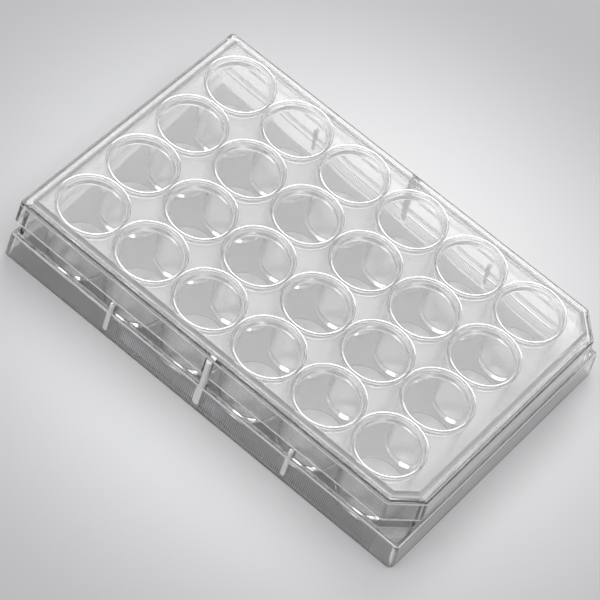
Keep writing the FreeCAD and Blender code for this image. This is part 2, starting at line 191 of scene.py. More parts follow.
class LidSizes(bpy.types.PropertyGroup):
    """Sizes of the lid."""

    skirt_reach: length("Skirt half width", "Half width of the skirt at its bottom edge", 42.1)
    skirt_excess: length("Skirt excess", "Half length less half width of the skirt", 21.5)
    skirt_draft: slope("Skirt draft", "Lean of the skirt", 4.0)
    skirt_cut: length("Skirt cut", "Length that a cut corner takes off each side", 7.1)
    skirt_corner: length("Skirt corner", "Radius of the skirt's upright corners", 1.6)
    wall: length("Wall", "Thickness of the skirt", 1.1)
    ledge_top: length("Ledge top", "Height of the ledge round the panel", 21.3)
    ledge_thickness: length("Ledge thickness", "Thickness of the ledge", 0.9)
    shoulder: length("Shoulder", "Rounding between the ledge and the skirt", 0.9)
    panel_reach: length("Panel half width", "Half width of the raised panel at its foot", 39.75)
    panel_excess: length("Panel excess", "Half length less half width of the panel", 21.05)
    panel_cut: length("Panel cut", "Length that a cut corner of the panel takes off", 5.0)
    panel_corner: length("Panel corner", "Radius of the panel's upright corners", 1.0)
    panel_draft: slope("Panel step lean", "Lean of the step round the panel", 35.0)
    panel_thickness: length("Panel thickness", "Thickness of the raised panel", 1.5)
    panel_wall: length("Panel wall", "Inset of the panel's hollow from its foot", 0.9)
    panel_inner_draft: slope("Panel hollow lean", "Lean of the panel's hollow", 10.0)
    ring_inner: length("Ring inner radius", "Inner radius of a condensation ring", 8.95)
    ring_outer: length("Ring outer radius", "Outer radius of a condensation ring", 9.6)
    ring_depth: length("Ring depth", "Depth of a condensation ring", 0.6)
    ring_taper: length("Ring taper", "Rounding of a ring's lower edges", 0.08)
    nib_height: length("Nib height", "Height of the nibs, just short of the plate's rim", 0.17)
    nib_half_length: length("Nib half length", "Half the length of a nib along its side", 0.9)
    nib_inner: length("Nib reach", "Distance from the skirt's reach to a nib's inner end", 3.0)
    notch_half_width: length("Notch half width", "Half the width of the notch over the key", 1.3)
    notch_top: length("Notch top", "Height of the notch's top", 20.0)
    notch_round: length("Notch rounding", "Rounding of the notch's top corners", 0.55)
    edge_round: length("Edge rounding", "Smallest rounding left by the mould", 0.15)


class Finish(bpy.types.PropertyGroup):
    """Finish of the clear polystyrene."""

    tint: colour("Tint", "Colour of light that goes through a wall", (0.97, 0.97, 0.97))
    refraction: number("Refraction", "Index of refraction of polystyrene", 1.59, 1.0, 3.0)
    polish: number("Polish", "Roughness of the clearest places", 0.008)
    haze: number("Haze", "Roughness of the cloudiest places", 0.05)
    deck_matt: number("Deck matt", "Roughness that the matt deck between the wells adds", 0.22)
    foot_matt: number("Foot matt", "Roughness that the worn foot adds", 0.8)
    ripple: length("Ripple", "Height of the slow waves that the mould leaves", 0.012)
    # Painted highlights: these shares turn the clear body milky along the moulded edges, on the
    # panel's step and in the ribs, so that they show as bright lines and bars.
    painted_edge_highlight: number("Edge glow", "Share of the light that scatters at a moulded edge", 0.9)
    painted_step_highlight: number("Step glow", "Share of the light that scatters on the panel's step", 0.5)
    painted_rib_highlight: number("Rib glow", "Share of the light that scatters in a rib", 0.95)


class Studio(bpy.types.PropertyGroup):
    """The floor, the lamps and the camera."""

    # Painted pool of light on the floor: its colour holds near the middle and falls off to a deeper
    # grey further out.
    floor_colour: colour("Floor", "Colour of the floor round the object", (0.95, 0.95, 0.955))
    floor_painted_falloff: colour("Far floor", "Colour that the floor falls off to", (0.55, 0.55, 0.56))
    floor_near: length("Floor near", "How far from its middle the floor starts to fall off", 35.0)
    floor_fall: length("Floor falloff", "How far from its middle the floor is deepest", 128.0)
    floor_centre: length("Floor centre", "How far the floor's middle lies behind the object's", 7.0)
    floor_gap: length("Floor gap", "Thin air gap between the floor and the plate's foot", 0.04)
    sky_colour: colour("Sky", "Colour of the sky", (0.97, 0.98, 1.0))
    sky_strength: number("Sky strength", "Strength of the sky", 0.3)
    window_power: number("Window", "Watts of the softbox above and behind", 2.9, 0.0, 1000.0)
    overhead_power: number("Overhead", "Watts of the softbox straight above", 12.3, 0.0, 1000.0)
    azimuth: slope("Camera azimuth", "Camera's turn round the object from the front", 23.751)
    elevation: slope("Camera elevation", "Camera's height above the horizon", 52.460)
    roll: slope("Camera roll", "Turn of the camera about its own line of sight", -19.505)
    distance: length("Camera distance", "Distance from the camera to the point it looks at", 806.235)
    lens: number("Lens", "Focal length in millimetres", 196.0, 1.0, 1000.0)


# ---------------------------------------------------------------- surfaces
def unit(vector):
    """A vector scaled to length one."""
    return vector / np.linalg.norm(vector)


def rounded(path, radii, steps=3):
    """A profile with round corners. A corner with a radius becomes an arc tangent to both its sides:
    centre = corner + (sum of the unit sides, made one long) * radius / sin(half the corner's angle),
    and the arc's points lie at equal angles about that centre."""
    path = np.asarray(path, float)
    parts = [path[:1]]
    for before, corner, after, radius in zip(path[:-2], path[1:-1], path[2:], radii[1:-1]):
        if radius == 0:
            parts.append(corner[None])
            continue
        back, on = unit(before - corner), unit(after - corner)
        half = 0.5 * math.acos(float(np.clip(back @ on, -1.0, 1.0)))
        centre = corner + unit(back + on) * radius / math.sin(half)
        start = corner + back * radius / math.tan(half) - centre
        end = corner + on * radius / math.tan(half) - centre
        sweep = math.pi - 2.0 * half
        turn = np.linspace(0.0, sweep, steps + 1)[:, None]
        parts.append(centre + (np.sin(sweep - turn) * start + np.sin(turn) * end) / math.sin(sweep))
    parts.append(path[-1:])
    return np.vstack(parts)


class Band:
    """A family of parallel outlines. One of them has a reach, which is its half width, an excess,
    which is its half length less its half width, two corners of +X cut by an amount, and a corner
    radius. An outline of another reach is parallel to it."""

    def __init__(self, reach, excess, cut, radius):
        self.reach, self.excess, self.cut, self.radius = reach, excess, cut, radius

    def rows(self, path, radii=None, steps=3, tag=0):
        """Rows of the border, as columns: reach, height, half length, cut at +X, radius, tag."""
        path = rounded(path, radii, steps) if radii else np.asarray(path, float)
        inset = self.reach - path[:, 0]
        radius = np.maximum(self.radius - inset, LEAST_RADIUS)
        cut = np.maximum(self.cut - CUT_SHARE * inset, CUT_SHARE * radius + LEAST_CUT)
        return np.column_stack([path, path[:, 0] + self.excess, cut, radius, np.full(len(path), tag)])


class Columns:
    """The columns of a border: where each lies along its side, and which feature it belongs to.
    Sides and corners are numbered from the -Y side, anticlockwise: 0 is the -Y side, 1 the corner
    after it, 2 the +X side, and so on to 7."""

    def __init__(self, long_side, short_side):
        corner = [np.full(2 * ARC_POINTS, value) for value in (0.0, -1, False, True)]
        back = [[a[::-1] for a in side] for side in (long_side, short_side)]
        blocks = [long_side, corner, short_side, corner, back[0], corner, back[1], corner]
        self.side = np.repeat(np.arange(8), [len(b[0]) for b in blocks])
        self.along, self.feature, self.solid, self.kept = (
            np.concatenate([b[i] for b in blocks]) for i in range(4)
        )
        self.on_long, self.on_short = self.side % 4 == 0, self.side % 4 == 2
        self.sign = np.where((self.side == 0) | (self.side == 6), -1.0, 1.0)


def side_columns(stations, fine, features):
    """One side's columns, in order: [place along the side, feature, inside the feature, kept in
    coarse rows]. Stations are kept, and fine ones only serve finely divided rows. Each feature
    (middle, half width) has two columns at each edge, one on the plain surface and one on its own."""
    columns = []
    for places, kept in ((stations, True), (fine, False)):
        for place in places:
            off = [(abs(place - middle), half) for middle, half in features]
            inside = [i for i, (away, half) in enumerate(off) if away < half]
            if all(abs(away - half) > COLUMN_GAP for away, half in off):
                columns.append((place, 0, inside[0] if inside else -1, bool(inside), kept))
    for i, (middle, half) in enumerate(features):
        west, east = middle - half, middle + half
        columns += [(west, 0, i, False, True), (west, 1, i, True, True),
                    (east, 0, i, True, True), (east, 1, i, False, True)]
    columns.sort(key=lambda column: column[:2])
    along, _, feature, solid, kept = (np.array(values) for values in zip(*columns))
    return [along, feature, solid, kept]


def outline(rows, columns):
    """X, Y and Z of every row at every column. On a side, X and Y are the half size and the place
    along the side. On a corner they lie on two arcs of 45 degrees, one at each end of the corner's
    cut: centre + radius * (cos a, sin a)."""
    reach, height, half_x, east_cut, radius, _ = (rows[:, i, None] for i in range(6))
    west_cut = CUT_SHARE * radius + LEAST_CUT
    x = np.where(columns.on_long, columns.along, columns.sign * half_x)
    y = np.where(columns.on_long, columns.sign * reach, columns.along)
    for corner, sign_x, sign_y, cut in ((1, 1, -1, east_cut), (3, 1, 1, east_cut),
                                        (5, -1, 1, west_cut), (7, -1, -1, west_cut)):
        start = math.radians(-90.0 + 45.0 * (corner - 1))
        angle = start + np.concatenate([np.linspace(0.0, 0.25, ARC_POINTS),
                                        np.linspace(0.25, 0.5, ARC_POINTS)]) * math.pi
        first = np.arange(2 * ARC_POINTS) < ARC_POINTS
        along_x = first if corner in (1, 5) else ~first
        tangent = cut + ARC_TANGENT * radius
        centre_x = sign_x * (half_x - np.where(along_x, tangent, radius))
        centre_y = sign_y * (reach - np.where(along_x, radius, tangent))
        here = columns.side == corner
        x[:, here] = centre_x + radius * np.cos(angle)
        y[:, here] = centre_y + radius * np.sin(angle)
    return x, y, np.broadcast_to(height, x.shape).copy()


class Shell:
    """A closed surface gathered patch by patch."""

    def __init__(self):
        self.points, self.faces, self.count = [], [], 0

    def add(self, points):
        """Takes an array of points (..., 3) and returns their numbers in the same layout."""
        numbers = np.arange(self.count, self.count + points[..., 0].size).reshape(points.shape[:-1])
        self.points.append(points.reshape(-1, 3))
        self.count += numbers.size
        return numbers

    def close(self, faces, down=False):
        """Takes faces (..., 3 or 4) of point numbers, turned over where the patch looks down."""
        faces = faces.reshape(-1, faces.shape[-1])
        self.faces += (faces[:, ::-1] if down else faces).tolist()

    def sheet(self, grid, down=False, wrap=True):
        """Quads between the rows of a grid of point numbers, whose columns wrap round."""
        if wrap:
            grid = np.concatenate([grid, grid[..., :1]], axis=-1)
        row, below = grid[..., :-1, :], grid[..., 1:, :]
        self.close(np.stack([row[..., :-1], below[..., :-1], below[..., 1:], row[..., 1:]], -1), down)

    def seam(self, coarse, fine, kept, down=False):
        """Triangles between a coarse row, which has the columns kept, and a fine one."""
        owner = coarse[np.cumsum(kept) - 1]
        after, last, following = (np.roll(row, -1) for row in (fine, kept, owner))
        self.close(np.column_stack([owner, fine, after]), down)
        self.close(np.column_stack([owner, after, following])[last], down)

    def zip_up(self, inner, inner_at, outer, outer_at, down=False):
        """Triangles between two closed loops, each with its places along the way round, 0 to 4."""
        inner_next = np.append(inner_at[1:], inner_at[0] + 4.0)
        outer_next = np.append(outer_at[1:], outer_at[0] + 4.0)
        opposite = inner[np.searchsorted(inner_next, outer_next, side="right") % len(inner)]
        self.close(np.column_stack([opposite, outer, np.roll(outer, -1)]), down)
        opposite = outer[np.searchsorted(outer_next, inner_next, side="left") % len(outer)]
        self.close(np.column_stack([inner, opposite, np.roll(inner, -1)]), down)

    def finish(self, name):
        """The merged surface as a mesh object."""
        mesh = bpy.data.meshes.new(name)
        mesh.from_pydata(np.concatenate(self.points).tolist(), [], self.faces)
        merged = bmesh.new()
        merged.from_mesh(mesh)
        bmesh.ops.remove_doubles(merged, verts=merged.verts, dist=MERGE_DISTANCE)
        loose = [e for e in merged.edges if len(e.link_faces) != 2]
        if loose:
            raise RuntimeError(f"{name} is open at {len(loose)} edges")
        merged.to_mesh(mesh)
        merged.free()
        mesh.shade_smooth()
        mesh.set_sharp_from_angle(angle=SHARP_ANGLE)
        piece = bpy.data.objects.new(name, mesh)
        bpy.context.scene.collection.objects.link(piece)
        even = piece.modifiers.new("Even shading", "WEIGHTED_NORMAL")
        even.keep_sharp = True
        return piece


def clip_corners(points):
    """Points of the wells' grid, moved in along the diagonal where x + |y| passes the limit."""
    over = np.maximum(points[..., 0] + np.abs(points[..., 1]) - GRID_CORNER_SUM, 0.0) / 2.0
    points[..., 0] -= over
    points[..., 1] -= np.sign(points[..., 1]) * over
    return points


def grid_stations(middles):
    """Places along one axis where the wells' squares meet the grid's outer edge: each square has
    middle + half pitch * tan(a), with a from -45 to 45 degrees."""
    turn = np.tan(np.linspace(-0.25, 0.25, WELL_STEPS // 4 + 1)[:-1] * math.pi)
    places = (middles[:, None] + 0.5 * PITCH * turn).ravel()
    return np.append(places, middles[-1] + 0.5 * PITCH)


def shares(line, places):
    """Places as shares of the way along a line, kept between its ends."""
    return np.clip((places - line[0]) / (line[-1] - line[0]), 0.0, 1.0)


def grid_loop(xs, ys, height):
    """The outer edge of the wells' grid as a closed loop of points, with its places 0 to 4."""
    (west, east), (front, back) = xs[[0, -1]], ys[[0, -1]]
    x = np.concatenate([xs[:-1], 0 * ys[1:] + east, xs[:0:-1], 0 * ys[1:] + west])
    y = np.concatenate([0 * xs[1:] + front, ys[:-1], 0 * xs[1:] + back, ys[:0:-1]])
    u, v = shares(xs, xs), shares(ys, ys)
    at = np.concatenate([u[:-1], 1.0 + v[:-1], 3.0 - u[:0:-1], 4.0 - v[:0:-1]])
    return clip_corners(np.column_stack([x, y, np.full(len(x), height)])), at


def border_places(columns, xs, ys):
    """Places 0 to 4 along the grid's edge that lie opposite a border's columns."""
    u, v = shares(xs, columns.along), shares(ys, columns.along)
    return np.choose(columns.side, [u, 1.0, 1.0 + v, 2.0, 3.0 - u, 3.0, 4.0 - v, 4.0])


def join_grid(shell, columns, lines, height, row, kept=slice(None), down=False):
    """Triangles from the grid's outer edge, which has a point on each line, to a border's row."""
    loop, loop_at = grid_loop(*lines, height)
    shell.zip_up(shell.add(loop), loop_at, row, border_places(columns, *lines)[kept], down)


def well_squares(shell, profile, down=False):
    """One square of the grid round each well. Inside it is a profile (radius, height) turned about
    the well's axis, from its pole outwards: middle + radius * (cos a, sin a). Its last height goes on
    to the square, whose edge is at half pitch / max(|cos a|, |sin a|)."""
    angle = np.arange(WELL_STEPS) * 2.0 * math.pi / WELL_STEPS
    way = np.stack([np.cos(angle), np.sin(angle)], -1)
    edge = way * (0.5 * PITCH / np.abs(way).max(1))[:, None]
    flat = np.concatenate([profile[1:, 0, None, None] * way, edge[None]])
    height = np.append(profile[1:, 1], profile[-1, 1])
    plan = WELLS[:, None, None, :] + flat
    tall = np.broadcast_to(height[:, None], plan.shape[:-1])
    points = np.concatenate([plan, tall[..., None]], -1)
    points[:, -1] = clip_corners(points[:, -1])
    rings = shell.add(points)
    poles = shell.add(np.column_stack([WELLS, np.full(len(WELLS), profile[0, 1])]))
    shell.sheet(rings, down)
    first = rings[:, 0]
    middle = np.broadcast_to(poles[:, None], first.shape)
    shell.close(np.stack([middle, first, np.roll(first, -1, axis=1)], -1), down)


# ---------------------------------------------------------------- pieces
def flange_band(s):
    """The flange's band, which fills the plate's box."""
    return Band(PLATE_HIGH.y, PLATE_HIGH.x - PLATE_HIGH.y, 0.0, s.flange_corner)


def lid_bands(s):
    """The bands of the lid's skirt and of its panel."""
    return (Band(s.skirt_reach, s.skirt_excess, s.skirt_cut, s.skirt_corner),
            Band(s.panel_reach, s.panel_excess, s.panel_cut, s.panel_corner))


def ribs_and_key(s):
    """Middle and half width of a rib, the key and the other rib."""
    return [(RIB_WEST, s.rib_half_width), (0.0, s.key_half_width), (RIB_EAST, s.rib_half_width)]


def plate_shell(s):
    """The plate as one closed surface. From above: the wells' insides turned about their axes, the
    deck between them, then the border, which is one profile carried round outlines parallel to the
    walls: recess, rim, body wall, ledge, flange, bottom edge and the walls' insides. From below:
    the deck's underside and the wells' outsides."""
    base_reach = PLATE_HIGH.y
    top = PLATE_HIGH.z
    deck = top - s.deck_recess
    under_deck = deck - s.deck_thickness
    ledge = s.flange_height
    under_ledge = ledge - s.flange_wall
    lean, body_lean = math.tan(s.flange_draft), math.tan(s.body_draft)
    flange = flange_band(s)
    body = Band(s.body_reach, s.body_excess, s.body_cut, s.body_corner)
    edge = s.edge_round

    def wall(z):
        """Half width of the body wall's outside."""
        return s.body_reach - (z - under_ledge) * body_lean

    def face(z):
        """Half width of the flange's outside."""
        return base_reach - z * lean

    rim = wall(top)
    KEY_TOP, RIB_TOP, ROUND_END, END_SEAT = range(1, 5)
    upper = np.vstack([
        body.rows([(rim - s.rim_width, deck), (rim - s.rim_width, top), (rim, top),
                   (wall(s.key_top), s.key_top)], [0, edge, edge, 0]),
        body.rows([(wall(s.key_top), s.key_top)], tag=KEY_TOP),
        body.rows([(wall(s.rib_top), s.rib_top)], tag=KEY_TOP),
        body.rows([(wall(s.rib_top), s.rib_top), (wall(ledge), ledge),
                   (wall(ledge) + LEDGE_STRIP, ledge)], [0, BODY_ROOT, 0], tag=RIB_TOP),
    ])
    above_grip, below_grip = GRIP_HIGH + GRIP_RAMP, GRIP_LOW - GRIP_RAMP
    turn = np.linspace(0.0, 0.5 * math.pi, RIB_END_ROWS)
    end_heights = s.rib_bottom + s.rib_half_width * (1.0 - np.sin(turn))
    ends = np.column_stack([face(end_heights), end_heights])
    middle = np.vstack([
        flange.rows([(face(ledge) - LEDGE_STRIP, ledge), (face(ledge), ledge),
                     (face(above_grip), above_grip)], [0, s.flange_edge, 0], FLANGE_ARC),
        flange.rows([(face(GRIP_HIGH), GRIP_HIGH)]),
        flange.rows(ends, tag=ROUND_END),
        flange.rows(ends[-1:], tag=END_SEAT),
        flange.rows([(face(GRIP_LOW), GRIP_LOW)]),
        flange.rows([(face(below_grip), below_grip), (base_reach, 0.0),
                     (base_reach - FOOT_OUTER, 0.0)], [0, FOOT_SHARE * edge, 0], FOOT_ARC),
    ])
    inner = base_reach - s.flange_wall
    hollow = s.body_reach - s.body_wall
    lower = np.vstack([
        flange.rows([(inner + FOOT_INNER, 0.0), (inner, 0.0),
                     (inner - under_ledge * lean, under_ledge)], [0, edge, 0]),
        body.rows([(hollow + LEDGE_STRIP, under_ledge), (hollow, under_ledge),
                   (hollow - (under_deck - under_ledge) * body_lean, under_deck),
                   (DECK_BORDER, under_deck)], [0, edge, DECK_ROOT, 0]),
    ])
    rows = np.vstack([upper, middle, lower])
    reach, height, tag = rows[:, 0], rows[:, 1], rows[:, 5]

    features = ribs_and_key(s)
    steps = GROOVE_STEPS * int(round((GRIP_EAST - GRIP_WEST) / s.grip_pitch))
    fine = GRIP_WEST + np.arange(steps + 1) * s.grip_pitch / GROOVE_STEPS
    on_ribs = [centre + half * ACROSS_RIB for centre, half in features]
    stations = np.concatenate([PLATE_STATIONS, *on_ribs])
    columns = Columns(side_columns(stations, fine, features), side_columns(SHORT_STATIONS, [], []))

    x, y, z = outline(rows, columns)
    on_long, sign = columns.on_long, columns.sign

    # Grip grooves: the face goes in by depth * (1 - cos(2 pi along / pitch)) / 2.
    gripped = (height <= GRIP_HIGH + SAME_HEIGHT) & (height >= GRIP_LOW - SAME_HEIGHT)
    in_grip = on_long & (columns.along > GRIP_WEST) & (columns.along < GRIP_EAST) & ~columns.solid
    wave = 0.5 - 0.5 * np.cos(2.0 * math.pi * (columns.along - GRIP_WEST) / s.grip_pitch)
    depth = np.where(in_grip, wave, 0.0) * s.grip_depth * sign
    y -= gripped[:, None] * depth

    # Ribs and key: their columns stand out from the wall from the top end to the rounded foot, by
    # share * (face - wall), where share goes round as edge + (1 - edge) * sqrt(1 - off^2).
    foot = tag == ROUND_END
    last = np.flatnonzero(foot)[-1]
    drop = (s.rib_bottom + s.rib_half_width - height) / s.rib_half_width
    half_share = np.where(foot, np.sqrt(np.clip(1.0 - drop ** 2, 0.0, 1.0)), 1.0)
    half_share[tag == END_SEAT] = 0.0
    for number_of, (centre, half) in enumerate(features):
        mine = on_long & (columns.feature == number_of)
        x[:, mine] = centre + (x[:, mine] - centre) * half_share[:, None]
        first = np.flatnonzero(tag == (KEY_TOP if number_of == 1 else RIB_TOP))[0]
        tall, solid = slice(first, last + 1), mine & columns.solid
        off = np.clip((x[tall, solid] - centre) / half, -1.0, 1.0)
        share = s.rib_edge_share + (1.0 - s.rib_edge_share) * np.sqrt(1.0 - off ** 2)
        wall_there = reach[tall, None]
        y[tall, solid] = sign[solid] * (wall_there + (s.rib_face - wall_there) * share)

    points = np.stack([x, y, z], -1)
    shell = Shell()
    kept = columns.kept
    high = shell.add(points[: len(upper)][:, kept])
    face_rows = shell.add(points[len(upper): len(upper) + len(middle)])
    low = shell.add(points[len(upper) + len(middle):][:, kept])
    for grid in (high, face_rows, low):
        shell.sheet(grid)
    shell.seam(high[-1], face_rows[0], kept)
    shell.seam(low[0], face_rows[-1], kept, down=True)

    floor = top - s.well_depth
    foot_height = floor - s.floor_thickness
    inside = rounded([(0, floor), (s.floor_radius, floor), (s.mouth_radius, top), (s.well_rim, top),
                      (s.well_rim, deck)], [0, s.well_round, s.mouth_round, edge, 0], WELL_ARC)
    outside = rounded([(0, foot_height), (s.well_foot, foot_height), (s.well_outer, under_deck),
                       (s.well_outer + WELL_STRIP, under_deck)],
                      [0, s.well_round, s.root_round, 0], WELL_ARC)
    well_squares(shell, inside)
    well_squares(shell, outside, down=True)
    lines = grid_stations(WELL_XS), grid_stations(WELL_YS)
    join_grid(shell, columns, lines, deck, high[0], kept)
    join_grid(shell, columns, lines, under_deck, low[-1], kept, down=True)
    return shell


def lid_shell(s):
    """The lid as one closed surface: a flat panel, then one profile carried round parallel outlines:
    the step, the ledge, the shoulder, the skirt, its bottom edge and the inside of them all, then
    the panel's underside with a ring turned about each well's axis."""
    top = LID_HIGH.z
    bottom = LID_LOW.z
    ledge = s.ledge_top
    under_ledge = ledge - s.ledge_thickness
    under_panel = top - s.panel_thickness
    skirt, panel = lid_bands(s)
    lean = math.tan(s.skirt_draft)
    edge = s.edge_round

    def outer(z):
        """Half width of the skirt's outside."""
        return s.skirt_reach - (z - bottom) * lean

    def inner(z):
        """Half width of the skirt's inside."""
        return outer(z) - s.wall

    panel_edge = s.panel_reach - (top - ledge) * math.tan(s.panel_draft)
    hollow = s.panel_reach - s.panel_wall
    hollow_top = hollow - (under_panel - under_ledge) * math.tan(s.panel_inner_draft)
    nib_level = under_ledge - s.nib_height
    nib_end = s.skirt_reach - s.nib_inner
    above_notch = s.notch_top + NOTCH_MARGIN
    ROOF_OUT, EDGE_OUT, EDGE_IN, ROOF_IN, NIB_WALL, NIB_TOP = range(1, 7)
    bottom_edge = rounded([(outer(s.notch_top), s.notch_top), (s.skirt_reach, bottom),
                           (inner(bottom), bottom), (inner(s.notch_top), s.notch_top)],
                          [0, edge, edge, 0])
    count = (len(bottom_edge) - 2) // 2
    rows = np.vstack([
        panel.rows([(LID_BORDER, top), (panel_edge, top), (s.panel_reach, ledge),
                    (s.panel_reach + STEP_STRIP, ledge)], [0, STEP_TOP, STEP_ROOT, 0]),
        skirt.rows([(s.panel_reach + SKIRT_STRIP, ledge), (outer(ledge), ledge),
                    (outer(above_notch), above_notch)], [0, s.shoulder, 0], SHOULDER_ARC),
        skirt.rows(bottom_edge[:1], tag=ROOF_OUT),
        skirt.rows(bottom_edge[1:1 + count], tag=EDGE_OUT),
        skirt.rows(bottom_edge[1 + count:-1], tag=EDGE_IN),
        skirt.rows(bottom_edge[-1:], tag=ROOF_IN),
        skirt.rows([(inner(nib_level), nib_level)]),
        skirt.rows([(inner(under_ledge), under_ledge)], tag=NIB_WALL),
        skirt.rows([(nib_end, under_ledge)], tag=NIB_TOP),
        skirt.rows([(nib_end, under_ledge)]),
        panel.rows([(hollow + HOLLOW_STRIP, under_ledge), (hollow, under_ledge),
                    (hollow_top, under_panel), (LID_UNDER_BORDER, under_panel)],
                   [0, HOLLOW_EDGE, HOLLOW_ROOT, 0], RING_ARC),
    ])
    tag = rows[:, 5]
    nibs = [(x, s.nib_half_length) for x in WELL_XS[[0, 1, -2, -1]]]
    end_nibs = [(y, s.nib_half_length) for y in WELL_YS[[0, -1]]]
    stations = np.concatenate([LID_STATIONS, ACROSS_NOTCH * s.notch_half_width])
    columns = Columns(side_columns(stations, [], nibs + [(0.0, s.notch_half_width)]),
                      side_columns(SHORT_STATIONS, [], end_nibs))
    x, y, z = outline(rows, columns)
    on_long, sign = columns.on_long, columns.sign

    # Notch: its columns turn in at the roof, which drops at each side by the roof corners' rounding.
    notch = on_long & (columns.feature == len(nibs))
    past = np.abs(columns.along[notch]) - s.notch_half_width + s.notch_round
    past = np.clip(past, 0.0, s.notch_round)
    roof = s.notch_top - (s.notch_round - np.sqrt(s.notch_round ** 2 - past ** 2))
    solid = columns.solid[notch]
    for rows_of, reach_of, every in ((ROOF_OUT, outer, True), (EDGE_OUT, outer, False),
                                     (EDGE_IN, inner, False), (ROOF_IN, inner, True)):
        cells = np.ix_(tag == rows_of, notch)
        change = solid | every
        z[cells] = np.where(change, roof, z[cells])
        y[cells] = np.where(change, sign[notch] * reach_of(roof), y[cells])

    # Nibs: a flat step down from the ledge's underside.
    long_nib = columns.solid & on_long & (columns.feature < len(nibs))
    short_nib = columns.solid & columns.on_short
    for rows_of, reach_of in ((NIB_WALL, inner(nib_level)), (NIB_TOP, nib_end)):
        line = tag == rows_of
        z[np.ix_(line, long_nib | short_nib)] = nib_level
        y[np.ix_(line, long_nib)] = sign[long_nib] * reach_of
        x[np.ix_(line, short_nib)] = sign[short_nib] * (reach_of + s.skirt_excess)

    shell = Shell()
    border = shell.add(np.stack([x, y, z], -1))
    shell.sheet(border)

    ring = rounded([(0, under_panel), (s.ring_inner, under_panel),
                    (s.ring_inner + s.ring_taper, under_panel - s.ring_depth),
                    (s.ring_outer - s.ring_taper, under_panel - s.ring_depth),
                    (s.ring_outer, under_panel)],
                   [0, 0, s.ring_taper, s.ring_taper, 0], RING_ARC)
    well_squares(shell, ring, down=True)
    lines = grid_stations(WELL_XS), grid_stations(WELL_YS)
    join_grid(shell, columns, lines, under_panel, border[-1], down=True)

    lines = [np.linspace(line[0], line[-1], count) for line, count in zip(lines, PANEL_GRID)]
    across, along = np.meshgrid(*lines)
    flat = shell.add(clip_corners(np.stack([across, along, np.full_like(across, top)], -1)))
    shell.sheet(flat.T, wrap=False)
    join_grid(shell, columns, lines, top, border[0])
    return shell


# ---------------------------------------------------------------- finishes
class Graph:
    """The nodes of a new material, from the object's coordinates to the shader."""

    def __init__(self, name):
        self.material = bpy.data.materials.new(name)
        self.material.use_nodes = True
        self.nodes, self.links = self.material.node_tree.nodes, self.material.node_tree.links
        self.shader = self.nodes["Principled BSDF"]
        self.place = self.add("ShaderNodeTexCoord")["Object"]

    def feed(self, node, values):
        """Sets inputs of a node to numbers or colours, or links outputs of other nodes to them."""
        for socket, value in values.items():
            if isinstance(value, bpy.types.NodeSocket):
                self.links.new(value, node.inputs[socket])
            else:
                node.inputs[socket].default_value = value

    def add(self, kind, values={}, **settings):
        """The outputs of a new node."""
        node = self.nodes.new(kind)
        for name, value in settings.items():
            setattr(node, name, value)
        self.feed(node, values)
        return node.outputs

    def maths(self, operation, *values):
        """The result of a maths node."""
        return self.add("ShaderNodeMath", dict(enumerate(values)), operation=operation)["Value"]

    def noise(self, place, scale, detail):
        """Noise at a place."""
        return self.add("ShaderNodeTexNoise",
                        {"Scale": scale, "Detail": detail, "Vector": place})["Fac"]

    def within(self, value, low, high):
        """One where a value lies between two limits, and zero elsewhere."""
        return self.maths("COMPARE", value, (low + high) / 2.0, (high - low) / 2.0)

    def reach(self, x, y, band):
        """How far out a point lies in a band: max(|y|, |x| - excess), and at the cut corners
        (x + |y| - excess + cut - share * band's reach) / (2 - share)."""
        across = self.maths("ABSOLUTE", y)
        along = self.maths("ABSOLUTE", x)
        reach = self.maths("MAXIMUM", across, self.maths("SUBTRACT", along, band.excess))
        if band.cut:
            start = band.excess - band.cut + CUT_SHARE * band.reach
            slant = self.maths("MULTIPLY_ADD", self.maths("ADD", x, across), 1.0 / (2.0 - CUT_SHARE),
                               -start / (2.0 - CUT_SHARE))
            reach = self.maths("MAXIMUM", reach, slant)
        return reach

    # Mask for a rib's painted highlight.
    def rib(self, x, y, z, face, centre, foot, half):
        """One on a rib and zero elsewhere. A rib is an upright strip with a round foot: all points
        with (x - centre)^2 + min(z - foot, 0)^2 < half^2 that lie within its depth of its face."""
        aside = self.maths("SUBTRACT", x, centre)
        below = self.maths("MINIMUM", self.maths("SUBTRACT", z, foot), 0.0)
        square = self.maths("MULTIPLY_ADD", aside, aside, self.maths("MULTIPLY", below, below))
        out = self.maths("GREATER_THAN", self.maths("ABSOLUTE", y), face - RIB_HIGHLIGHT_DEPTH)
        return self.maths("MULTIPLY", out, self.maths("LESS_THAN", square, half ** 2))


def painted_highlight_line(share, band, reach, height, line):
    """A painted highlight along an edge, as a milky band: its share, its band, and its limits of
    reach and of height.
    """
    inner, outer, low, high = (each * MM for each in line)
    return share, band, (reach + inner, reach + outer), (height + low, height + high)


